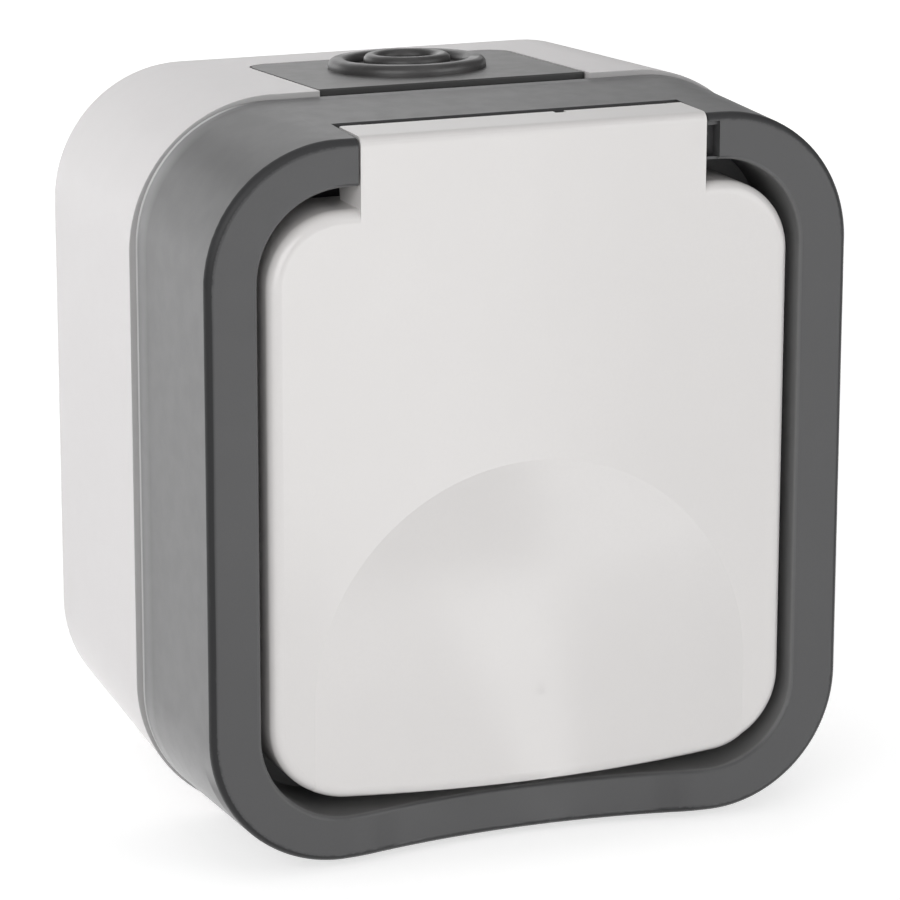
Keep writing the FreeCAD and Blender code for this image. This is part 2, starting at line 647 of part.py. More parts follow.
def add_scoop(body):
    """The finger scoop: a wide shallow hollow across the bottom bar that runs out smoothly into the front face.
    The rounding of the frame's outer front edge follows it."""
    half, depth, ends = S.scoop_half_width, S.scoop_depth, S.scoop_end_round
    both = (half * half + depth * depth) / (depth * 2)
    middle = both - ends
    turn_x = middle * half / both
    turn_y = middle * (both - depth) / both - (front - depth + middle)
    hollow = new_sketch(body, "Scoop", "XY_Plane", -(frame_top + 2))
    polygon(hollow, [(-half, -front), (-turn_x, turn_y), (turn_x, turn_y), (half, -front),
                     (half, -(front + 3)), (-half, -(front + 3))],
            {0: (ends, -1), 1: (middle, 1), 2: (ends, -1)})
    cut_away = pocket(body, "ScoopCut", hollow, frame_top + 2 - S.opening_height / 2 + S.opening_corner / 2,
                      Reversed=True)
    fillet(body, "FrontEdge", cut_away, S.frame_edge_round, lambda p: on_front(p) and near(
        off_outline(p, S.frame_width, S.frame_height, S.frame_corner), ZERO, 0.1))


def on_front(point):
    """True on the front face and on the scoop in it."""
    return point.y < -(front - S.scoop_depth).number + 0.05


def add_recess(body):
    """The walled recess that the lid closes, with a round window for the insert in its floor."""
    opening = new_sketch(body, "Opening", "XZ_Plane", front)
    centred_box(opening, S.opening_width, S.opening_height, S.opening_corner)
    hollow = pocket(body, "RecessHollow", opening, S.recess_depth)
    fillet(body, "OpeningEdge", hollow, S.opening_round, lambda p: on_front(p) and near(
        off_outline(p, S.opening_width, S.opening_height, S.opening_corner), ZERO))
    window = new_sketch(body, "InsertWindow", "XZ_Plane", recess)
    circle(window, ZERO, ZERO, S.collar_radius + S.collar_gap)
    pocket(body, "InsertWindowCut", window, S.recess_floor)


def add_hinge_slot(body):
    """The slot for the lid's tab, the bore for the hinge pin and the shallow pocket beside the tab."""
    slot = new_sketch(body, "HingeSlot", "XZ_Plane", front + 1)
    rounded_box(slot, -slot_half, slot_half, S.opening_height / 2 - S.opening_wall, frame_top + 2)
    pocket(body, "HingeSlotCut", slot, S.slot_setback + 1)
    bore = new_sketch(body, "PinBore", "YZ_Plane", -(S.pin_reach + 0.3))
    circle(bore, -pivot_depth, S.pivot_height, S.pin_radius + S.pin_fit)
    pocket(body, "PinBoreCut", bore, (S.pin_reach + 0.3) * 2, Reversed=True)
    half = S.window_height / 2
    for name, rise, depth in (("Pocket", half, S.window_depth), ("PocketStep", half + S.window_bevel, S.window_bevel)):
        hollow = new_sketch(body, name, "XZ_Plane", front + 1)
        rounded_box(hollow, slot_half - 1, slot_half + S.window_width, S.pivot_height - rise, S.pivot_height + rise)
        pocket(body, name + "Cut", hollow, depth + 1)


def add_tongue(body):
    """A thin wall past the seam that centres the frame in the box and closes in the gasket."""
    outer_inset = S.box_wall + S.tongue_gap
    width = S.box_front_width - outer_inset * 2
    height = S.box_front_height - outer_inset * 2
    corner = S.box_front_corner - outer_inset
    tongue = new_sketch(body, "Tongue", "XZ_Plane", S.box_depth - S.tongue_depth)
    centred_box(tongue, width, height, corner)
    centred_box(tongue, width - S.tongue_wall * 2, height - S.tongue_wall * 2, corner - S.tongue_wall)
    pad(body, "TonguePad", tongue, S.tongue_depth * 2)


def add_frame_screw_bosses(body):
    bottom = S.frame_post_depth + S.frame_boss_gap
    for name, side in (("High", -1), ("Low", 1)):
        x, z = S.frame_screw_x * side, S.frame_screw_z * -side
        boss = new_sketch(body, "Boss" + name, "XZ_Plane", bottom)
        circle(boss, x, z, S.post_radius + 0.6)
        pad(body, "BossPad" + name, boss, floor_back + S.recess_floor / 2 - bottom)
        seat = new_sketch(body, "HeadSeat" + name, "XZ_Plane", recess)
        circle(seat, x, z, S.head_recess_radius)
        pocket(body, "HeadSeatCut" + name, seat, S.head_height + S.recess_floor / 4)
        hole = new_sketch(body, "BossHole" + name, "XZ_Plane", recess)
        circle(hole, x, z, S.frame_screw_radius + S.screw_clearance)
        pocket(body, "BossHoleCut" + name, hole, recess - bottom + 1)


# Lid

def lid_outline(sketch, inset):
    inset = size(inset)
    half = S.lid_half_width - inset
    rounded_box(sketch, -half, half, S.lid_low + inset, S.lid_high - inset,
                S.lid_low_corner - inset, S.lid_high_corner - inset)


def bulge_profile(sketch, radius, half_width, base_y, whole):
    """A shallow circle segment in front of a chord. Its full width is padded, its right half is revolved."""
    radius, half_width, base = size(radius), size(half_width), size(base_y)
    centre = front.number - math.sqrt(S.arch_bulge_radius.number ** 2 - S.arch_radius.number ** 2)
    rise = -(centre + math.sqrt(radius.number ** 2 - half_width.number ** 2))
    tip = -(centre + radius.number)
    left = -half_width.number if whole else 0.0
    w, b = half_width.number, -base.number
    chord = sketch.addGeometry(Part.LineSegment(V(left, b, 0), V(w, b, 0)))
    right = sketch.addGeometry(Part.LineSegment(V(w, b, 0), V(w, rise, 0)))
    left_end = V(left, rise if whole else tip, 0)
    middle = V(0, tip, 0) if whole else V(w / 2, -(centre + math.sqrt(radius.number ** 2 - w * w / 4)), 0)
    crown = sketch.addGeometry(Part.Arc(V(w, rise, 0), middle, left_end))
    close = sketch.addGeometry(Part.LineSegment(left_end, V(left, b, 0)))
    arc_right, arc_left = arc_ends(sketch, crown, w)
    for before, after in (((chord, 2), (right, 1)), ((right, 2), (crown, arc_right)),
                          ((crown, arc_left), (close, 1)), ((close, 2), (chord, 1))):
        sketch.addConstraint(Sketcher.Constraint("Coincident", *before, *after))
    sketch.addConstraint(Sketcher.Constraint("Vertical", right))
    sketch.addConstraint(Sketcher.Constraint("Vertical", close))
    sketch.addConstraint(Sketcher.Constraint("PointOnObject", crown, 3, -2))
    fix_point(sketch, chord, 1, -half_width if whole else ZERO, -base)
    fix_value(sketch, "DistanceX", -1, 1, chord, 2, half_width)
    sketch.addConstraint(Sketcher.Constraint("Horizontal", chord))
    fix_value(sketch, "Radius", crown, radius)
    index = sketch.addConstraint(Sketcher.Constraint("DistanceY", -1, 1, crown, 3, -centre))
    sketch.setExpression("Constraints[%d]" % index,
                         "sqrt(sizes.arch_bulge_radius ^ 2 - sizes.arch_radius ^ 2) - %s" % front.text)


def arc_ends(sketch, arc, right_x):
    """Which end of the arc lies on the right: the start or the end."""
    start = sketch.getPoint(arc, 1)
    return (1, 2) if abs(start.x - right_x) < abs(sketch.getPoint(arc, 2).x - right_x) else (2, 1)


def add_bulge(body, name, kinds, radius, half_width, base, bottom):
    """The raised arch: a cylinder segment below the arch's centre, run out into a ball segment above it."""
    dome = new_sketch(body, name + "Dome", "XY_Plane", S.arch_height)
    bulge_profile(dome, radius, half_width, base, whole=False)
    profiled(body, kinds[0], name + "DomeTurn", dome, ReferenceAxis=(dome, ["V_Axis"]), Angle=180.0, Reversed=True)
    trunk = new_sketch(body, name + "Trunk", "XY_Plane", S.arch_height)
    bulge_profile(trunk, radius, half_width, base, whole=True)
    down = kinds[1] == "Pad"
    return profiled(body, kinds[1], name + "TrunkRun", trunk, Length=S.arch_height - bottom, Reversed=down)


def make_lid_plate():
    """The flat part of the lid, which the raised arch is joined to."""
    body = new_body("lid_plate")
    plate = new_sketch(body, "LidOutline", "XZ_Plane", lid_back)
    lid_outline(plate, ZERO)
    form = pad(body, "LidForm", plate, S.lid_depth)
    fillet(body, "LidEdge", form, S.lid_edge_round, lambda p: at_depth(p, front))
    return body


def make_lid():
    flat = make_lid_plate()
    body = new_body("lid")
    arch = add_bulge(body, "Arch", ("Revolution", "Pad"), S.arch_bulge_radius, S.arch_radius,
                     lid_inner - S.lid_skin, S.lid_low)
    corners = new_sketch(body, "ArchCorners", "XZ_Plane", front + 5)
    rounded_box(corners, -S.frame_width, S.frame_width, S.lid_low * 2, S.lid_high * 2)
    lid_outline(corners, ZERO)
    trimmed = pocket(body, "ArchCornersCut", corners, S.lid_depth * 3)
    fillet(body, "ArchEdge", trimmed, S.lid_edge_round,
           lambda p: p.z < S.lid_low.number + 1 and p.y < -front.number + 0.01)
    join = body.newObject("PartDesign::Boolean", "LidJoin")
    join.Type = "Fuse"
    join.setObjects([flat])
    add_tab(body)
    channel = new_sketch(body, "SealChannel", "XZ_Plane", lid_back)
    lid_outline(channel, S.lid_side)
    pocket(body, "SealChannelCut", channel, S.seal_seat, Reversed=True)
    inside = new_sketch(body, "LidInside", "XZ_Plane", lid_back)
    lid_outline(inside, S.lid_side + S.seal_channel + S.seal_rib)
    pocket(body, "LidInsideCut", inside, lid_inner - lid_back, Reversed=True)
    rib = new_sketch(body, "SealRib", "XZ_Plane", lid_back + S.seal_rib_drop)
    lid_outline(rib, S.lid_side + S.seal_channel)
    lid_outline(rib, S.lid_side + S.seal_channel + S.seal_rib)
    pad(body, "SealRibPad", rib, S.seal_seat)
    inner_half = S.arch_radius - S.lid_skin
    add_bulge(body, "Hollow", ("Groove", "Pocket"), S.arch_bulge_radius - S.lid_skin, inner_half,
              lid_inner - 0.2, S.lid_low + S.lid_side + S.seal_channel + S.seal_rib)
    return body


def add_tab(body):
    """The hinge tab over the frame's top edge: two bored ears joined by a thin front and top wall."""
    half = S.tab_half_width
    rear = front - S.tab_depth
    ear_rear = rear - S.ear_extra
    low = S.lid_high - S.lid_side
    tab = new_sketch(body, "TabSide", "YZ_Plane")
    polygon(tab, [(-front, low), (-front, tab_top), (-rear, tab_top), (-rear, S.pivot_height - S.ear_drop),
                  (-(rear + 0.8), low)])
    tab_block = pad(body, "TabBlock", tab, half * 2, Midplane=True)
    fillet(body, "TabFrontEdge", tab_block, S.tab_round, lambda p: at_depth(p, front) and near(p.z, tab_top))
    inner_left, inner_right = -(half - S.left_ear), half - S.right_ear
    for name, first, last in (("LeftEar", -half, inner_left), ("RightEar", inner_right, half)):
        ear = new_sketch(body, name, "XZ_Plane", ear_rear)
        rounded_box(ear, first, last, S.pivot_height - S.ear_drop, tab_top)
        ears = pad(body, name + "Pad", ear, S.tab_depth / 4)
    fillet(body, "EarEdges", ears, S.ear_round, lambda p: at_depth(p, ear_rear) and near(p.z, tab_top))
    bevel = new_sketch(body, "EarBevel", "XY_Plane", tab_top + 1)
    polygon(bevel, [(-(half + 1), -ear_rear + 1), (-(half + 1), -ear_rear - S.ear_bevel),
                    (-half, -ear_rear - S.ear_bevel), (S.ear_bevel - half, -ear_rear), (S.ear_bevel - half, -ear_rear + 1)])
    pocket(body, "EarBevelCut", bevel, tab_top + 1 - S.pivot_height + S.ear_drop)
    hollow = new_sketch(body, "TabHollow", "YZ_Plane", inner_left)
    rounded_box(hollow, -(front - S.tab_skin), -(lid_back - 2), S.lid_high, tab_top - S.tab_skin)
    pocket(body, "TabHollowCut", hollow, inner_right - inner_left, Reversed=True)
    notch = new_sketch(body, "TabNotch", "XZ_Plane", rear)
    rounded_box(notch, S.tab_notch_place - S.tab_notch / 2, S.tab_notch_place + S.tab_notch / 2,
                tab_top - S.tab_skin - 1, tab_top + 1)
    pocket(body, "TabNotchCut", notch, S.tab_notch_depth, Reversed=True)
    bore = new_sketch(body, "LidPinBore", "YZ_Plane", -half)
    circle(bore, -pivot_depth, S.pivot_height, S.pin_radius + S.pin_running_gap)
    pocket(body, "LidPinBoreCut", bore, half * 2, Reversed=True)


# Seals

def ring_body(label, plane, offset, outlines, height):
    body = new_body(label)
    sketch = new_sketch(body, label + "_section", plane, offset)
    for draw, arguments in outlines:
        draw(sketch, *arguments)
    pad(body, label + "_pad", sketch, height)
    return body


def make_frame_gasket():
    inset = S.box_wall - S.gasket_width
    outer = (S.box_front_width - inset * 2, S.box_front_height - inset * 2, S.box_front_corner - inset)
    inner_inset = S.box_wall
    inner = (S.box_front_width - inner_inset * 2, S.box_front_height - inner_inset * 2,
             S.box_front_corner - inner_inset)
    body = ring_body("frame_gasket", "XZ_Plane", S.box_depth - S.gasket_height,
                     [(centred_box, outer), (centred_box, inner)], S.gasket_height)
    return body


def make_lid_seal():
    first = S.lid_side + S.seal_side_gap
    second = S.lid_side + S.seal_channel - S.seal_side_gap
    bottom = recess + S.seal_face_gap
    top = lid_back + S.seal_seat
    return ring_body("lid_gasket", "XZ_Plane", bottom, [(lid_outline, (first,)), (lid_outline, (second,))],
                     top - bottom)


# Insert

def make_socket_cover():
    body = new_body("socket_cover")
    profile = new_sketch(body, "CoverProfile", "XY_Plane")
    wall_out = S.well_radius + S.well_wall
    polygon(profile, [
        (ZERO, -cover_back), (wall_out, -cover_back), (wall_out, -flange_back), (S.flange_radius, -flange_back),
        (S.flange_radius, -floor_back), (S.collar_radius, -floor_back), (S.collar_radius, -collar_front),
        (S.well_radius, -collar_front), (S.well_radius, -well_floor), (ZERO, -well_floor),
    ])
    form = profiled(body, "Revolution", "CoverForm", profile, ReferenceAxis=(profile, ["V_Axis"]), Angle=360.0)
    fillet(body, "CollarEdges", form, S.collar_round, lambda p: at_depth(p, collar_front))
    for name, side in (("Left", -1), ("Right", 1)):
        key = new_sketch(body, "Key" + name, "XZ_Plane", well_floor)
        near_x, far_x = (S.well_radius - S.key_rise) * side, (S.well_radius + S.well_wall / 2) * side
        ends = (far_x, near_x) if side < 0 else (near_x, far_x)
        rounded_box(key, *ends, -S.key_width / 2, S.key_width / 2)
        pad(body, "KeyPad" + name, key, S.well_depth - S.collar_round * 2)
        hole = new_sketch(body, "PinHole" + name, "XZ_Plane", well_floor)
        circle(hole, pin_x * side, ZERO, S.pin_hole_radius)
        pocket(body, "PinHoleCut" + name, hole, S.well_bottom)
    for name, side in (("High", 1), ("Low", -1)):
        window = new_sketch(body, "ClipWindow" + name, "XZ_Plane", S.clip_window_front)
        half = S.clip_window / 2
        inner, outer = (S.clip_reach - 0.9) * side, (S.well_radius + S.well_wall + 1) * side
        ends = (inner, outer) if side > 0 else (outer, inner)
        rounded_box(window, -half, half, *ends)
        pocket(body, "ClipWindowCut" + name, window, S.clip_window_front - cover_back)
    sink = new_sketch(body, "CoverScrewHole", "XY_Plane")
    bore = S.cover_screw_radius + S.screw_clearance
    mouth = S.head_radius + S.screw_clearance
    polygon(sink, [(ZERO, -(cover_back - 1)), (bore, -(cover_back - 1)), (bore, -(well_floor - S.sunk_head_height)),
                   (mouth, -well_floor), (mouth, -(well_floor + 1)), (ZERO, -(well_floor + 1))])
    profiled(body, "Groove", "CoverScrewSink", sink, ReferenceAxis=(sink, ["V_Axis"]), Angle=360.0)
    head = new_sketch(body, "EarthScrewRoom", "XZ_Plane", cover_back)
    circle(head, ZERO, S.earth_clamp_centre, S.terminal_head_radius + S.collar_gap)
    pocket(body, "EarthScrewRoomCut", head, S.terminal_head_height + S.screw_clearance, Reversed=True)
    return body


def make_insert_base():
    body = new_body("insert_base")
    disc = new_sketch(body, "BaseDisc", "XZ_Plane", base_seat)
    circle(disc, ZERO, ZERO, S.base_radius)
    pad(body, "BaseForm", disc, S.base_height)
    lugs = new_sketch(body, "BaseLugs", "XZ_Plane", base_seat)
    reach = S.lug_reach + S.post_radius
    rounded_box(lugs, -reach, reach, -S.post_radius, S.post_radius, S.post_radius * 0.9, S.post_radius * 0.9)
    pad(body, "BaseLugPad", lugs, S.lug_height)
    for name, side in (("Left", -1), ("Right", 1)):
        chamber = new_sketch(body, "Chamber" + name, "XZ_Plane", cover_back)
        ends = (S.chamber_inner, S.chamber_outer) if side > 0 else (-S.chamber_outer, -S.chamber_inner)
        rounded_box(chamber, *ends, S.chamber_low, S.chamber_high)
        pocket(body, "ChamberCut" + name, chamber, S.chamber_depth)
        hole = new_sketch(body, "LugHole" + name, "XZ_Plane", base_seat + S.lug_height)
        circle(hole, S.lug_reach * side, ZERO, S.insert_screw_radius + S.screw_clearance)
        pocket(body, "LugHoleCut" + name, hole, S.lug_height)
        wire = new_sketch(body, "WireWay" + name, "XY_Plane", S.chamber_high - 1)
        circle(wire, pin_x * side, -clamp_middle(), S.wire_hole + 0.3)
        pocket(body, "WireWayCut" + name, wire, S.base_radius, Reversed=True)
    strip = new_sketch(body, "StripGroove", "XZ_Plane", cover_back)
    half = S.strip_width / 2 + 0.2
    rounded_box(strip, -half, half, -(S.base_radius + 1), S.base_radius + 1)
    pocket(body, "StripGrooveCut", strip, S.strip_thick)
    well = new_sketch(body, "EarthChamber", "XZ_Plane", cover_back)
    rise = S.clamp_rise / 2 + 0.3
    rounded_box(well, -(S.clamp_width / 2 + 0.3), S.clamp_width / 2 + 0.3, S.earth_clamp_centre - rise,
                S.earth_clamp_centre + rise)
    pocket(body, "EarthChamberCut", well, S.strip_thick + S.clamp_height)
    wire = new_sketch(body, "EarthWireWay", "XY_Plane", S.earth_clamp_centre)
    circle(wire, ZERO, -(cover_back - S.strip_thick - S.clamp_height / 2), S.wire_hole + 0.3)
    pocket(body, "EarthWireWayCut", wire, S.base_radius)
    screw = new_sketch(body, "CoverScrewBore", "XZ_Plane", cover_back)
    circle(screw, ZERO, ZERO, S.cover_screw_radius + S.screw_clearance)
    pocket(body, "CoverScrewBoreCut", screw, S.cover_screw_length)
    return body


def chamber_floor():
    return cover_back - S.chamber_depth


def clamp_middle():
    """Depth of the line clamps' wire entries: the clamps stand on the contacts' tongues."""
    return chamber_floor() + S.strip_thick + S.clamp_height / 2


def make_earth_bracket():
    """A strip across the base, turned forward at both ends into the bowed clips in the plug well."""
    body = new_body("earth_bracket")
    side = new_sketch(body, "StripSide", "YZ_Plane")
    back = cover_back - S.strip_thick
    root, reach, thick = S.clip_root, S.clip_reach, S.strip_thick
    bow = (S.clip_window_front + cover_back) / 2
    tip = S.clip_window_front - 0.6
    rising = [(root + thick, back), (root + thick, cover_back + 1.5), (reach + thick, bow), (root, tip),
              (root - thick, tip - 0.4), (reach, bow + 0.9), (reach, bow - 0.9), (root, cover_back + 1.5),
              (root, cover_back)]
    points = [(-depth, height) for height, depth in rising]
    points += [(-depth, -height) for height, depth in reversed(rising)]
    polygon(side, points)
    pad(body, "StripForm", side, S.strip_width, Midplane=True)
    hole = new_sketch(body, "StripHole", "XZ_Plane", cover_back + 1)
    circle(hole, ZERO, ZERO, S.cover_screw_radius + S.screw_clearance)
    circle(hole, ZERO, S.earth_clamp_centre, S.terminal_screw_radius + S.screw_clearance)
    pocket(body, "StripHoleCut", hole, S.strip_thick + 2)
    return body


# Pieces made of primitives

def cylinder_along_y(name, radius, depth, height, x, z):
    """A cylinder from a depth towards the front."""
    item = doc.addObject("Part::Cylinder", name)
    item.Placement = FreeCAD.Placement(V(0, 0, 0), FreeCAD.Rotation(V(1, 0, 0), 90))
    bind(item, "Radius", radius)
    bind(item, "Height", height)
    bind(item, "Placement.Base.x", x)
    bind(item, "Placement.Base.y", -size(depth))
    bind(item, "Placement.Base.z", z)
    return item


def block(name, x, depth, z, width, height, rise):
    """A block whose middle is at x and z, from a depth towards the front."""
    item = doc.addObject("Part::Box", name)
    bind(item, "Length", width)
    bind(item, "Width", height)
    bind(item, "Height", rise)
    bind(item, "Placement.Base.x", size(x) - size(width) / 2)
    bind(item, "Placement.Base.y", -(size(depth) + size(height)))
    bind(item, "Placement.Base.z", size(z) - size(rise) / 2)
    return item


def cut(name, base, tool):
    item = doc.addObject("Part::Cut", name)
    item.Base = base
    item.Tool = tool
    return item


def fuse(name, shapes):
    item = doc.addObject("Part::MultiFuse", name)
    item.Shapes = shapes
    return item


def group(label, shapes):
    item = doc.addObject("Part::Compound", label)
    item.Label = label
    item.Links = shapes
    return item


def screw(name, x, z, seat, radius, length, head_radius, head_height):
    """A slotted screw with a cylindrical head in front of its seat and its shank towards the wall."""
    seat = size(seat)
    shank = cylinder_along_y(name + "_shank", radius, seat - length, length, x, z)
    head = cylinder_along_y(name + "_head", head_radius, seat, head_height, x, z)
    slot = block(name + "_slot", x, seat + head_height - S.head_slot_depth, z, S.head_slot, S.head_slot_depth + 1,
                 size(head_radius) * 3)
    return cut(name, fuse(name + "_form", [shank, head]), slot)


def make_frame_screws():
    seat = recess - S.head_height - S.recess_floor / 4
    screws = [screw("frame_screw_" + name, S.frame_screw_x * side, S.frame_screw_z * -side, seat,
                    S.frame_screw_radius, S.frame_screw_length, S.head_radius, S.head_height)
              for name, side in (("high", -1), ("low", 1))]
    return group("frame_screws", screws)


def make_insert_screws():
    screws = [screw("insert_screw_" + name, S.lug_reach * side, ZERO, base_seat + S.lug_height,
                    S.insert_screw_radius, S.insert_screw_length, S.head_radius, S.head_height)
              for name, side in (("left", -1), ("right", 1))]
    return group("insert_screws", screws)


def make_cover_screw():
    """A countersunk screw, flush with the floor of the plug well."""
    sink = S.sunk_head_height
    cone = doc.addObject("Part::Cone", "cover_screw_cone")
    cone.Placement = FreeCAD.Placement(V(0, 0, 0), FreeCAD.Rotation(V(1, 0, 0), 90))
    bind(cone, "Radius1", S.cover_screw_radius)
    bind(cone, "Radius2", S.head_radius)
    bind(cone, "Height", sink)
    bind(cone, "Placement.Base.y", -(well_floor - sink))
    shank = cylinder_along_y("cover_screw_shank", S.cover_screw_radius, well_floor - S.cover_screw_length,
                             S.cover_screw_length - sink / 2, ZERO, ZERO)
    slot = block("cover_screw_slot", ZERO, well_floor - S.head_slot_depth, ZERO, S.head_slot, S.head_slot_depth + 1,
                 S.head_radius * 3)
    item = cut("cover_screw_whole", fuse("cover_screw_form", [cone, shank]), slot)
    item.Label = "cover_screw"
    return item


def clamp_places():
    """Name, x, z, back face and the seat of the screw's head for each terminal clamp."""
    line_back = chamber_floor() + S.strip_thick
    line_seat = line_back + S.clamp_height
    earth_back = cover_back - S.strip_thick - S.clamp_height
    return [("live", pin_x, S.clamp_centre, line_back, line_seat),
            ("neutral", -pin_x, S.clamp_centre, line_back, line_seat),
            ("earth", ZERO, S.earth_clamp_centre, earth_back, cover_back)]


def make_terminal_clamps():
    clamps = []
    for name, x, z, back, seat in clamp_places():
        form = block("clamp_form_" + name, x, back, z, S.clamp_width, S.clamp_height, S.clamp_rise)
        way = doc.addObject("Part::Cylinder", "clamp_way_" + name)
        bind(way, "Radius", S.wire_hole)
        bind(way, "Height", S.clamp_rise + 2)
        bind(way, "Placement.Base.x", x)
        bind(way, "Placement.Base.y", -(back + S.clamp_height / 2))
        bind(way, "Placement.Base.z", z - S.clamp_rise / 2 - 1)
        thread = cylinder_along_y("clamp_thread_" + name, S.terminal_screw_radius + S.screw_clearance,
                                  back + S.clamp_height / 2, S.clamp_height / 2 + 1, x, z)
        clamps.append(cut("clamp_" + name, form, fuse("clamp_holes_" + name, [way, thread])))
    return group("terminal_clamps", clamps)


def make_terminal_screws():
    screws = []
    for name, x, z, back, seat in clamp_places():
        reach = seat - back - S.clamp_height / 2 - S.wire_hole / 2
        screws.append(screw("terminal_screw_" + name, x, z, seat, S.terminal_screw_radius, reach,
                            S.terminal_head_radius, S.terminal_head_height))
    return group("terminal_screws", screws)


def make_contact(label, side):
    """A slit sleeve that grips the plug's pin, with a tongue to its terminal clamp."""
    back = chamber_floor()
    x = pin_x * side
    inner = S.plug_pin_radius + S.contact_gap
    outer = inner + S.contact_wall
    tube = cylinder_along_y(label + "_tube", outer, back, S.contact_length, x, ZERO)
    bore = cylinder_along_y(label + "_bore", inner, back - 1, S.contact_length + 2, x, ZERO)
    slit = block(label + "_slit", x, back - 1, -outer / 2, S.contact_slit, S.contact_length + 2, outer)
    tongue_low = outer - S.contact_wall
    tongue_high = S.clamp_centre + S.clamp_rise / 2
    tongue = block(label + "_tongue", x, back, (tongue_low + tongue_high) / 2, S.clamp_width - 1.4,
                   S.strip_thick, tongue_high - tongue_low)
    sleeve = cut(label + "_sleeve", fuse(label + "_sheet", [tube, tongue]), fuse(label + "_gap", [bore, slit]))
    sleeve.Label = label
    return sleeve


def make_hinge_pin():
    pin = doc.addObject("Part::Cylinder", "pin_rod")
    pin.Placement = FreeCAD.Placement(V(0, 0, 0), FreeCAD.Rotation(V(0, 1, 0), 90))
    bind(pin, "Radius", S.pin_radius)
    bind(pin, "Height", S.pin_reach * 2)
    bind(pin, "Placement.Base.x", -S.pin_reach)
    bind(pin, "Placement.Base.y", -pivot_depth)
    bind(pin, "Placement.Base.z", S.pivot_height)
    slot = block("pin_slot_tool", S.spring_start, pivot_depth - S.pin_slot / 2, S.pivot_height, S.pin_slot,
                 S.pin_slot, S.pin_radius * 4)
    item = cut("hinge_pin", pin, slot)
    item.Label = "hinge_pin"
    return item


def make_lid_spring():
    """A torsion spring on the hinge pin: its inner end crosses the pin's slot, its leg pushes up under the tab."""
    coil, wire = S.spring_coil.number, S.spring_wire.number
    pitch, turns, leg = S.spring_pitch.number, S.spring_turns.number, S.spring_leg.number
    run = pitch * turns
    helix = Part.makeHelix(pitch, run, coil)
    climb = pitch / (2 * math.pi)
    end = V(coil * math.cos(2 * math.pi * turns), coil * math.sin(2 * math.pi * turns), run)
    tangent = V(-end.y, end.x, climb).normalize()
    path = Part.Wire(helix.Edges + [Part.makeLine(end, end + tangent * leg)])
    ring = Part.Wire(Part.makeCircle(wire, V(coil, 0, 0), V(0, coil, climb)))
    coils = path.makePipeShell([ring], True, True)
    # the inner end starts one wire width along the coil, as a rod across the pin
    angle = wire / coil
    root = V(coil * math.cos(angle), coil * math.sin(angle), climb * angle)
    inward = V(-root.x, -root.y, 0)
    tang = Part.makeCylinder(wire * 0.9, coil + S.pin_radius.number * 0.6, root, inward)
    # the coil's own x axis points up, its y axis back and its z axis to the left, so the leg leaves its top backwards
    turn = FreeCAD.Matrix(0, 0, -1, 0, 0, 1, 0, 0, 1, 0, 0, 0, 0, 0, 0, 1)
    item = doc.addObject("Part::Feature", "lid_spring")
    item.Shape = coils.fuse(tang)
    item.Placement = FreeCAD.Placement(turn)
    item.Placement.Base = V(S.spring_start.number, -pivot_depth.number, S.pivot_height.number)
    return item


def make_screw_seals():
    washers = []
    for name, side in (("high", 1), ("low", -1)):
        z = wall_hole_z * side
        seat = S.box_floor - S.washer_recess
        disc = cylinder_along_y("seal_disc_" + name, S.seal_washer_radius - S.screw_clearance, seat,
                                S.seal_washer_height, ZERO, z)
        hole = cylinder_along_y("seal_hole_" + name, S.wall_hole_radius, seat - 1, S.seal_washer_height + 2, ZERO, z)
        washers.append(cut("seal_" + name, disc, hole))
    return group("screw_seals", washers)


def check_document(pieces):
    doc.recompute()
    faults = ["%s is %s" % (item.Label, item.State) for item in doc.Objects
              if "Invalid" in item.State or "Error" in item.State]
    faults += ["%s has no valid shape" % piece.Label for piece in pieces
               if piece.Shape.isNull() or not piece.Shape.isValid()]
    if faults:
        raise RuntimeError("; ".join(faults))


def main():
    pieces = [
        make_back_box(), make_top_entry_plate(), make_top_grommet(), make_front_frame(), make_frame_gasket(),
        make_lid(), make_lid_seal(), make_hinge_pin(), make_lid_spring(), make_socket_cover(), make_insert_base(),
        make_earth_bracket(), make_contact("contact_live", 1), make_contact("contact_neutral", -1),
        make_terminal_clamps(), make_terminal_screws(), make_cover_screw(), make_insert_screws(),
        make_frame_screws(), make_screw_seals(),
    ]
    check_document(pieces)
    os.makedirs("parts", exist_ok=True)
    for piece in pieces:
        piece.Shape.exportStep("parts/%s.step" % piece.Label)
        box = piece.Shape.BoundBox
        print("%-18s %d solids, volume %8.1f, x %.2f %.2f, y %.2f %.2f, z %.2f %.2f" % (
            piece.Label, len(piece.Shape.Solids), piece.Shape.Volume, box.XMin, box.XMax, box.YMin, box.YMax,
            box.ZMin, box.ZMax))


main()
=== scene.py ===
import math

import bpy
from mathutils import Matrix, Vector


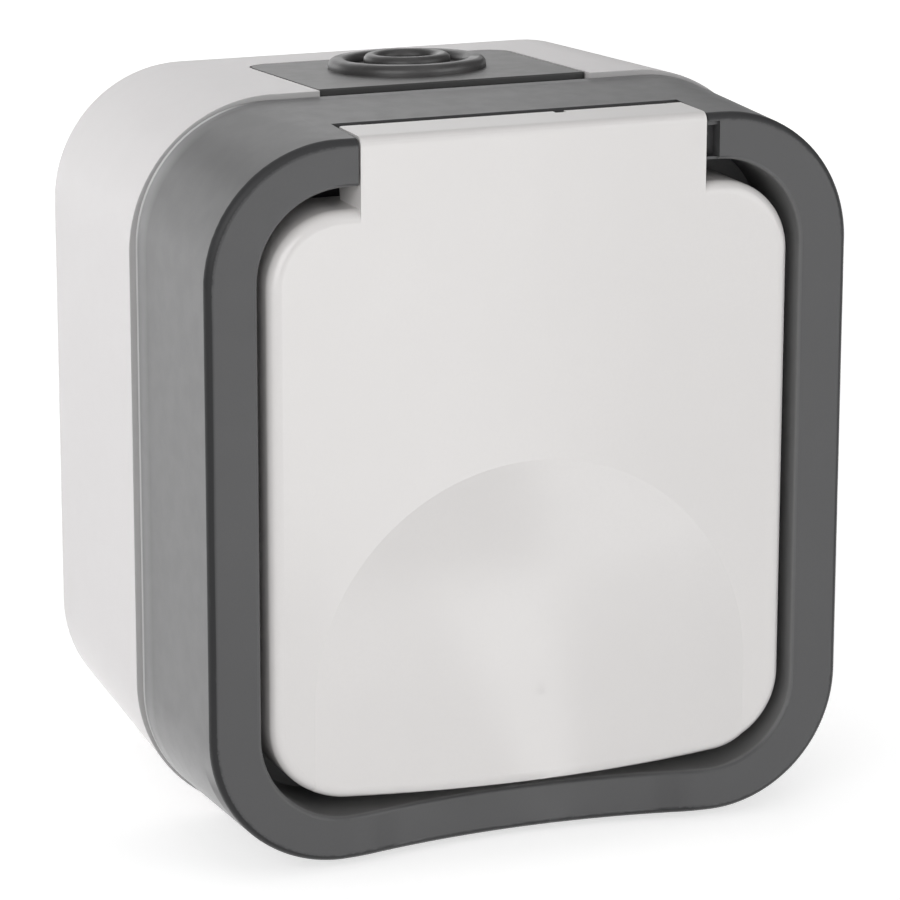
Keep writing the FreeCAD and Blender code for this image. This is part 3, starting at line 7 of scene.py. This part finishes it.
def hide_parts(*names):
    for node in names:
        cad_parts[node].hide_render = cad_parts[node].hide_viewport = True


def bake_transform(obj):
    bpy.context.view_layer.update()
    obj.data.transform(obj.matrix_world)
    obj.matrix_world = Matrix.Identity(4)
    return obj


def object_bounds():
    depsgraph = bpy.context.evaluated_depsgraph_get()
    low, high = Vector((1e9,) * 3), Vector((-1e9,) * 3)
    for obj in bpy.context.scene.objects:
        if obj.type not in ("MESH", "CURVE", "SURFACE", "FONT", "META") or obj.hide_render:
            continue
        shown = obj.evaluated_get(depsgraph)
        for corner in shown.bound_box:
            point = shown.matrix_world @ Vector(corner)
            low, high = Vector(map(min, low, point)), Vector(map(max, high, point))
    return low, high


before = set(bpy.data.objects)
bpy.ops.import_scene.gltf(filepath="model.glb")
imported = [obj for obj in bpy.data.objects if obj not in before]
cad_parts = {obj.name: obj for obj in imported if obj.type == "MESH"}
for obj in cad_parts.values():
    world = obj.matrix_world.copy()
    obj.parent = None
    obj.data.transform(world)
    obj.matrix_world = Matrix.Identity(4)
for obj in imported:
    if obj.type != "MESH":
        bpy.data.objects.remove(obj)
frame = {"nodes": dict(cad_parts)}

NODES = frame["nodes"]
CAD_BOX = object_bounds()
MM = 0.001

# The mix node's inputs and output for each kind of value
MIX_COLOURS, MIX_COLOUR_OUT = (6, 7), 2
MIX_VECTORS, MIX_VECTOR_OUT = (4, 5), 1

# Places in metres, as pairs between which a mask rises or falls. Depths are from the wall. All but the tab's height
# # place painted light and painted shade in the plastics' colours.
OPENING_TOP = (0.0352, 0.0354)
WALL_DEPTH = (0.046, 0.0535)
FRONT_BAND_DEPTH = (0.0552, 0.0556)
LOW_BAND_DEPTH = (0.0525, 0.0528)
SEAM_LEFT_DEPTH = (0.0335, 0.0374)
SEAM_TOP_DEPTH = (0.0337, 0.0355)
SEAM_EDGE_DEPTH = (0.0342, 0.0345)
BOX_RIM_DEPTH = (0.0330, 0.0333)
TAB_TOP_HEIGHT = (0.035, 0.038)

# The lid's dome: the centre of its sphere, and the radius round its pole within which the true normal fades out
DOME_CENTRE = (0.0, 0.04014, -0.0225)
DOME_PATCH = (0.004, 0.008)

# What glossy plastic mirrors: a brighter sector of floor that opens to the right, as slopes from its foot, and the
# part of the world in front, between two values of its y direction
SECTOR_FOOT = (0.004, -0.055)
SECTOR_START = (0.04, 0.12)
SECTOR_END = (0.41, 0.46)
SECTOR_GAIN = 2.0
FRONT_OF_WORLD = (-0.2, -0.5)

# The photograph's view, in degrees, millimetres of lens and metres
VIEW_TURN, VIEW_DIP, VIEW_ROLL = 21.868, 14.726, 0.086
LENS = 172.6
CAMERA_PLACE = (-0.1781, -0.4755, 0.1240)

# Name, place, width and watts of each lamp, all aimed at one spot
LAMP_TARGET = (0.0, -0.03, 0.0)
LAMPS = (
    ("left_front", (-0.6, -0.7, 0.3), 0.7, 4.83),
    ("right_front", (0.6, -0.7, 0.25), 0.7, 3.3),
    ("left", (-0.75, -0.05, 0.25), 0.7, 0.24),
    ("left_back", (-0.38, 0.78, 0.0), 0.7, 2.85),
    ("top", (0.0, 0.0, 0.8), 0.7, 0.9),
    ("top_back", (0.25, 0.7, 0.45), 0.7, 1.0),
    ("top_left_back", (-0.25, 0.65, 0.45), 0.7, 0.88),
    ("low_back", (0.14, 0.85, 0.24), 0.5, 0.7),
)


# Small tools

def srgb(*levels):
    """Scene-linear colour from 0 to 255 display levels."""
    def one(level):
        c = level / 255
        return c / 12.92 if c <= 0.04045 else ((c + 0.055) / 1.055) ** 2.4
    return tuple(one(level) for level in levels) + (1.0,)


def aim(obj, target):
    direction = Vector(target) - obj.location
    obj.rotation_euler = direction.to_track_quat("-Z", "Y").to_euler()


class Shader:
    """A material under construction: a principled shader with small builders for the nodes that feed it."""

    def __init__(self, name, colour, rough, specular=0.5, metallic=0.0):
        self.material = bpy.data.materials.new(name)
        self.material.use_nodes = True
        self.tree = self.material.node_tree
        self.main = self.tree.nodes["Principled BSDF"]
        self.main.inputs["Base Color"].default_value = colour
        self.main.inputs["Roughness"].default_value = rough
        self.main.inputs["Specular IOR Level"].default_value = specular
        self.main.inputs["Metallic"].default_value = metallic
        self.coords = self.tree.nodes.new("ShaderNodeTexCoord")
        self.height = None

    def link(self, source, target):
        self.tree.links.new(source, target)

    def noise(self, scale, detail=3.0, rough=0.55, stretch=None):
        """Noise in object space. Scale is in features to the metre, and stretch scales each axis."""
        node = self.tree.nodes.new("ShaderNodeTexNoise")
        node.inputs["Scale"].default_value = scale
        node.inputs["Detail"].default_value = detail
        node.inputs["Roughness"].default_value = rough
        source = self.coords.outputs["Object"]
        if stretch:
            mapping = self.tree.nodes.new("ShaderNodeMapping")
            mapping.inputs["Scale"].default_value = stretch
            self.link(source, mapping.inputs["Vector"])
            source = mapping.outputs["Vector"]
        self.link(source, node.inputs["Vector"])
        return node.outputs["Fac"]

    def ramp(self, value, low, high, to_low=0.0, to_high=1.0, smooth=True):
        """Goes from to_low to to_high as the value goes from low to high."""
        node = self.tree.nodes.new("ShaderNodeMapRange")
        node.interpolation_type = "SMOOTHSTEP" if smooth else "LINEAR"
        self.link(value, node.inputs["Value"])
        for key, number in (("From Min", low), ("From Max", high), ("To Min", to_low), ("To Max", to_high)):
            node.inputs[key].default_value = number
        return node.outputs["Result"]

    def maths(self, operation, first, second):
        node = self.tree.nodes.new("ShaderNodeMath")
        node.operation = operation
        for slot, value in enumerate((first, second)):
            if isinstance(value, (int, float)):
                node.inputs[slot].default_value = value
            else:
                self.link(value, node.inputs[slot])
        return node.outputs[0]

    def every(self, *masks):
        """The product of several masks."""
        product = masks[0]
        for mask in masks[1:]:
            product = self.maths("MULTIPLY", product, mask)
        return product

    def parts(self, vector):
        """The x, y and z of a vector."""
        node = self.tree.nodes.new("ShaderNodeSeparateXYZ")
        self.link(vector, node.inputs[0])
        return node.outputs

    def negative(self, value):
        return self.maths("MULTIPLY", value, -1.0)

    def normal(self):
        """The x, y and z of the mesh's own normal at rest."""
        return self.parts(self.coords.outputs["Normal"])

    def place(self):
        """The x, y and z of the point at rest."""
        return self.parts(self.coords.outputs["Object"])

    def mix(self, fac, first, second):
        """Mixes two colours, each a tuple or a socket."""
        node = self.tree.nodes.new("ShaderNodeMix")
        node.data_type = "RGBA"
        if isinstance(fac, (int, float)):
            node.inputs["Factor"].default_value = fac
        else:
            self.link(fac, node.inputs["Factor"])
        for key, value in zip(MIX_COLOURS, (first, second)):
            if isinstance(value, tuple):
                node.inputs[key].default_value = value
            else:
                self.link(value, node.inputs[key])
        return node.outputs[MIX_COLOUR_OUT]

    def colour(self, socket):
        self.link(socket, self.main.inputs["Base Color"])

    def roughness(self, socket):
        self.link(socket, self.main.inputs["Roughness"])

    def bump(self, value, distance, strength=1.0):
        node = self.tree.nodes.new("ShaderNodeBump")
        node.inputs["Strength"].default_value = strength
        node.inputs["Distance"].default_value = distance
        self.link(value, node.inputs["Height"])
        if self.height is not None:
            self.link(self.height, node.inputs["Normal"])
        self.height = node.outputs["Normal"]
        self.link(self.height, self.main.inputs["Normal"])


def shade(colour, factor):
    return tuple(min(1.0, c * factor) for c in colour[:3]) + (1.0,)


def moulded(name, colour, rough, grain=0.006, mottle=0.03, specular=0.5, shape=None):
    """Injection-moulded plastic: fine spark-eroded grain, faint cloudiness and a slightly uneven gloss. Shape, where
    given, builds the surface's own normal."""
    s = Shader(name, colour, rough, specular)
    if shape:
        s.height = shape(s)
    cloud = s.noise(70.0, 4.0)
    speck = s.noise(2600.0, 2.0)
    tone = s.mix(s.ramp(cloud, 0.3, 0.7), shade(colour, 1 - mottle), shade(colour, 1 + mottle))
    tone = s.mix(s.ramp(speck, 0.35, 0.65, 0.0, 0.5), tone, shade(colour, 1 - mottle * 1.4))
    s.colour(tone)
    s.roughness(s.ramp(s.noise(420.0, 3.0), 0.3, 0.7, rough - 0.015, rough + 0.015))
    s.bump(s.noise(5200.0, 2.0, 0.6), grain * MM)
    s.tone = tone
    return s


# Materials

def frame_plastic():
    """Dark grey plastic with painted shade and light in its colour. Painted shade darkens its rounded outer edges,
    less where they face up. Painted light lightens the wall of the opening and the first millimetres past the seam,
    and a painted highlight runs along the seam on the left."""
    s = moulded("frame_grey_plastic", srgb(65, 65, 66), 0.42)
    n_x, n_y, n_z = s.normal()
    x, y, z = s.place()
    depth, facing, left, down = s.negative(y), s.negative(n_y), s.negative(n_x), s.negative(n_z)

    inward = s.negative(s.maths("ADD", s.maths("MULTIPLY", n_x, x), s.maths("MULTIPLY", n_z, z)))
    in_opening = s.every(s.ramp(inward, 0.004, 0.012), s.ramp(z, *OPENING_TOP, 1.0, 0.0))
    # Painted light: the wall of the opening is lighter than the plastic's own grey.
    wall = s.every(in_opening, s.ramp(depth, *WALL_DEPTH), s.ramp(facing, 0.3, 0.9, 1.0, 0.0))
    # Painted shade: the rounded outer edges at the front and along the bottom are darker, outside the opening.
    front_band = s.every(s.ramp(facing, 0.03, 0.18), s.ramp(facing, 0.92, 0.995, 1.0, 0.0),
                         s.ramp(depth, *FRONT_BAND_DEPTH))
    low_band = s.every(s.ramp(down, 0.2, 0.4), s.ramp(down, 0.97, 0.999, 1.0, 0.0), s.ramp(depth, *LOW_BAND_DEPTH))
    outside = s.ramp(in_opening, 0.0, 1.0, 1.0, 0.0, smooth=False)
    band = s.every(s.maths("MAXIMUM", front_band, low_band), outside)

    # Painted light on the first millimetres past the seam, on the left and on top, and a painted highlight in a thin
    # line along the seam on the left.
    to_left, to_top = s.ramp(left, 0.3, 0.8), s.ramp(n_z, 0.5, 0.9)
    painted_light_left = s.every(s.ramp(depth, *SEAM_LEFT_DEPTH, 1.0, 0.0, smooth=False), to_left)
    painted_light_top = s.every(s.ramp(depth, *SEAM_TOP_DEPTH, 1.0, 0.0, smooth=False), to_top)
    painted_highlight_line = s.every(s.ramp(depth, *SEAM_EDGE_DEPTH, 1.0, 0.0), s.ramp(left, 0.05, 0.4))
    # Less painted shade where the rounded edges face up.
    high_band = s.every(band, s.ramp(n_z, 0.05, 0.3))

    # Lays the painted light and painted shade over the plastic's own tone.
    tone = s.tone
    for mask, colour in ((wall, srgb(112, 112, 112)), (band, srgb(45, 45, 46)), (high_band, srgb(61, 61, 62)),
                         (painted_light_left, srgb(150, 150, 151)), (painted_light_top, srgb(134, 134, 135)),
                         (painted_highlight_line, srgb(212, 212, 212))):
        tone = s.mix(mask, tone, colour)
    s.colour(tone)
    on_band = s.ramp(band, 0.0, 1.0, 0.5, 0.12, smooth=False)
    s.link(s.every(on_band, s.ramp(facing, 0.9, 0.99, 1.0, 0.83)), s.main.inputs["Specular IOR Level"])
    return s.material


def entry_plastic():
    """The entry plate's grey plastic, with painted shade darkening its narrow front face at the seam."""
    s = moulded("entry_grey_plastic", srgb(76, 75, 75), 0.45, 0.008, 0.02)
    facing = s.negative(s.normal()[1])
    # Painted shade on the faces that face forward.
    s.colour(s.mix(s.ramp(facing, 0.4, 0.8), s.tone, srgb(38, 38, 38)))
    return s.material


def box_plastic():
    """Light grey plastic, with painted shade darkening the narrow rim that faces forward at the seam."""
    s = moulded("housing_light_plastic", srgb(219, 216, 216.3), 0.45, 0.006, 0.008)
    facing, depth = s.negative(s.normal()[1]), s.negative(s.place()[1])
    # Painted shade on the forward-facing rim at the seam.
    rim = s.every(s.ramp(facing, 0.5, 0.9), s.ramp(depth, *BOX_RIM_DEPTH))
    s.colour(s.mix(rim, s.tone, srgb(172, 171, 171)))
    return s.material


def dome_normal(s):
    """The normal of the lid's dome as a true sphere near its pole, and the mesh's own normal elsewhere. Below the
    pole the dome runs on as a barrel, so the upward part of the normal stops there. The patch goes by height and side
    alone, so it takes in the lid's inner face behind the pole too."""
    away = s.tree.nodes.new("ShaderNodeVectorMath")
    away.operation = "SUBTRACT"
    s.link(s.coords.outputs["Object"], away.inputs[0])
    away.inputs[1].default_value = DOME_CENTRE
    x, y, z = s.parts(away.outputs[0])
    joined = s.tree.nodes.new("ShaderNodeCombineXYZ")
    for value, slot in zip((x, y, s.maths("MAXIMUM", z, 0.0)), joined.inputs):
        s.link(value, slot)
    turned = s.tree.nodes.new("ShaderNodeVectorTransform")
    turned.vector_type, turned.convert_from, turned.convert_to = "NORMAL", "OBJECT", "WORLD"
    s.link(joined.outputs[0], turned.inputs[0])
    unit = s.tree.nodes.new("ShaderNodeVectorMath")
    unit.operation = "NORMALIZE"
    s.link(turned.outputs[0], unit.inputs[0])
    reach = s.maths("SQRT", s.maths("ADD", s.maths("MULTIPLY", x, x), s.maths("MULTIPLY", z, z)), 0.0)
    near = s.ramp(reach, *DOME_PATCH, 1.0, 0.0)
    own = s.tree.nodes.new("ShaderNodeNewGeometry").outputs["Normal"]
    node = s.tree.nodes.new("ShaderNodeMix")
    node.data_type = "VECTOR"
    s.link(near, node.inputs["Factor"])
    for key, normal in zip(MIX_VECTORS, (own, unit.outputs[0])):
        s.link(normal, node.inputs[key])
    return node.outputs[MIX_VECTOR_OUT]


def lid_plastic():
    """White plastic, glossy on the front and duller on top."""
    s = moulded("lid_white_plastic", srgb(222, 219.6, 218.4), 0.2, 0.004, 0.008, shape=dome_normal)
    upward = s.ramp(s.normal()[2], 0.3, 0.8)
    on_tab = s.ramp(s.place()[2], *TAB_TOP_HEIGHT)
    s.roughness(s.ramp(s.every(upward, on_tab), 0.0, 1.0, 0.2, 0.4, smooth=False))
    return s.material


def rubber(name, colour, rough=0.72, specular=0.35):
    """Rubber with a little pale dust and an uneven sheen."""
    s = Shader(name, colour, rough, specular)
    dust = s.noise(320.0, 4.0, 0.6)
    tone = s.mix(s.ramp(dust, 0.45, 0.75), colour, shade(colour, 1.35))
    s.colour(tone)
    s.roughness(s.ramp(s.noise(210.0), 0.3, 0.7, rough - 0.08, rough + 0.06))
    s.bump(s.noise(3300.0, 2.0), 0.012 * MM)
    return s.material


def metal(name, colour, rough, stretch):
    """Drawn or rolled metal with fine lines. Stretch packs the lines along one axis."""
    s = Shader(name, colour, rough, 0.5, 1.0)
    lines = s.noise(900.0, 3.0, 0.6, stretch)
    s.colour(s.mix(s.ramp(lines, 0.3, 0.7), shade(colour, 0.86), shade(colour, 1.06)))
    s.roughness(s.ramp(s.noise(500.0, 2.0), 0.3, 0.7, rough - 0.07, rough + 0.09))
    s.bump(lines, 0.006 * MM, 0.6)
    return s.material


def give(material, *names):
    """Puts a material on pieces, without touching their meshes."""
    for name in names:
        obj = NODES[name]
        if not obj.material_slots:
            obj.data.materials.append(material)
        for slot in obj.material_slots:
            slot.link = "OBJECT"
            slot.material = material


def wind_spring():
    """The lid's torsion spring as a piece of its own: a copy of its mesh, with the original hidden and the copy's
    place baked into the mesh."""
    mesh = NODES["lid_spring"].data.copy()
    mesh.materials.clear()
    coil = bpy.data.objects.new("wound_spring", mesh)
    bpy.context.scene.collection.objects.link(coil)
    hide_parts("lid_spring")
    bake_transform(coil)
    return coil


NODES["wound_spring"] = wind_spring()

give(box_plastic(), "back_box")
give(entry_plastic(), "top_entry_plate")
give(frame_plastic(), "front_frame")
give(lid_plastic(), "lid")
give(rubber("grommet_rubber", srgb(62, 61, 61), 0.42, 0.5), "top_grommet")
give(rubber("seal_rubber", srgb(42, 42, 43)), "frame_gasket", "lid_gasket", "screw_seals")
give(moulded("insert_white_plastic", srgb(222, 220, 218), 0.3, 0.003, 0.01).material, "socket_cover")
give(moulded("insert_grey_plastic", srgb(150, 150, 150), 0.5).material, "insert_base")
give(metal("zinc_steel", srgb(196, 196, 199), 0.3, (1.0, 12.0, 1.0)), "earth_bracket", "terminal_screws",
     "cover_screw", "insert_screws", "frame_screws")
give(metal("spring_steel", srgb(176, 176, 180), 0.26, (14.0, 1.0, 1.0)), "hinge_pin", "wound_spring")
give(metal("contact_brass", srgb(206, 176, 108), 0.28, (1.0, 10.0, 1.0)), "contact_live", "contact_neutral",
     "terminal_clamps")


# Surroundings

def area_light(name, place, target, size, watts):
    data = bpy.data.lights.new(name, "AREA")
    data.shape = "SQUARE"
    data.size = size
    data.energy = watts
    lamp = bpy.data.objects.new(name, data)
    bpy.context.scene.collection.objects.link(lamp)
    lamp.location = place
    aim(lamp, target)


def make_world(level, front_glow):
    """Even light from all round. The camera sees it as plain white, and glossy plastic mirrors a paler front."""
    world = bpy.data.worlds.new("studio")
    bpy.context.scene.world = world
    world.use_nodes = True
    nodes, links = world.node_tree.nodes, world.node_tree.links
    background = nodes["Background"]
    background.inputs["Color"].default_value = (1.0, 1.0, 1.0, 1.0)
    path = nodes.new("ShaderNodeLightPath")
    seen = nodes.new("ShaderNodeMath")
    seen.operation = "MAXIMUM"
    links.new(path.outputs["Is Camera Ray"], seen.inputs[0])
    links.new(path.outputs["Is Transmission Ray"], seen.inputs[1])
    parts = nodes.new("ShaderNodeSeparateXYZ")
    links.new(nodes.new("ShaderNodeTexCoord").outputs["Generated"], parts.inputs[0])
    front = nodes.new("ShaderNodeMapRange")
    links.new(parts.outputs[1], front.inputs["Value"])
    for key, number in zip(("From Min", "From Max", "To Min", "To Max"), (*FRONT_OF_WORLD, 0.0, front_glow)):
        front.inputs[key].default_value = number
    mirrored = nodes.new("ShaderNodeMath")
    mirrored.operation = "MULTIPLY"
    links.new(path.outputs["Is Glossy Ray"], mirrored.inputs[0])
    links.new(front.outputs["Result"], mirrored.inputs[1])
    strength = nodes.new("ShaderNodeMapRange")
    links.new(seen.outputs[0], strength.inputs["Value"])
    strength.inputs["To Min"].default_value = level
    strength.inputs["To Max"].default_value = 1.0
    total = nodes.new("ShaderNodeMath")
    total.operation = "ADD"
    links.new(strength.outputs["Result"], total.inputs[0])
    links.new(mirrored.outputs[0], total.inputs[1])
    links.new(total.outputs[0], background.inputs["Strength"])


def make_floor(height, albedo, seen_glow, mirror_glow):
    """A pale floor that still takes the object's shadow. It glows a little, up to white, for the camera and in what
    the glossy plastic mirrors of it."""
    bpy.ops.mesh.primitive_plane_add(size=6.0, location=(0.0, 0.0, height))
    floor = bpy.context.object
    floor.name = "floor"
    s = Shader("floor_paper", (albedo, albedo, albedo, 1.0), 0.9, 0.1)
    s.colour(s.mix(s.ramp(s.noise(6.0), 0.3, 0.7), (albedo,) * 3 + (1.0,), (albedo * 1.01,) * 3 + (1.0,)))
    path = s.tree.nodes.new("ShaderNodeLightPath")
    s.main.inputs["Emission Color"].default_value = (1.0, 1.0, 1.0, 1.0)
    seen = s.maths("MULTIPLY", path.outputs["Is Camera Ray"], seen_glow)
    x, y, _ = s.place()
    ahead = s.maths("SUBTRACT", SECTOR_FOOT[1], y)
    slant = s.maths("DIVIDE", s.maths("SUBTRACT", x, SECTOR_FOOT[0]), s.maths("MAXIMUM", ahead, MM))
    sector = s.every(s.ramp(slant, *SECTOR_START), s.ramp(slant, *SECTOR_END, 1.0, 0.0))
    glow = s.ramp(sector, 0.0, 1.0, mirror_glow, mirror_glow * SECTOR_GAIN, smooth=False)
    mirrored = s.maths("MULTIPLY", path.outputs["Is Glossy Ray"], glow)
    s.link(s.maths("ADD", seen, mirrored), s.main.inputs["Emission Strength"])
    floor.data.materials.append(s.material)


def make_camera():
    """The photograph's view: from the left and above, with a long lens."""
    turn, dip, roll = math.radians(VIEW_TURN), math.radians(VIEW_DIP), math.radians(VIEW_ROLL)
    forward = Vector((math.sin(turn) * math.cos(dip), math.cos(turn) * math.cos(dip), -math.sin(dip)))
    level = Vector((math.cos(turn), -math.sin(turn), 0.0))
    above = level.cross(forward)
    right = math.cos(roll) * level + math.sin(roll) * above
    up = -math.sin(roll) * level + math.cos(roll) * above
    data = bpy.data.cameras.new("camera")
    data.sensor_width = 36.0
    data.lens = LENS
    data.clip_start = 0.01
    camera = bpy.data.objects.new("camera", data)
    bpy.context.scene.collection.objects.link(camera)
    axes = Matrix((right, up, -forward)).transposed()
    camera.matrix_world = Matrix.Translation(CAMERA_PLACE) @ axes.to_4x4()
    bpy.context.scene.camera = camera


make_camera()
make_world(level=0.15, front_glow=0.5)
make_floor(height=CAD_BOX[0].z, albedo=0.72, seen_glow=0.6, mirror_glow=1.52)
for name, place, size, watts in LAMPS:
    area_light(name, place, LAMP_TARGET, size, watts)
bpy.context.scene.view_settings.view_transform = "Standard"
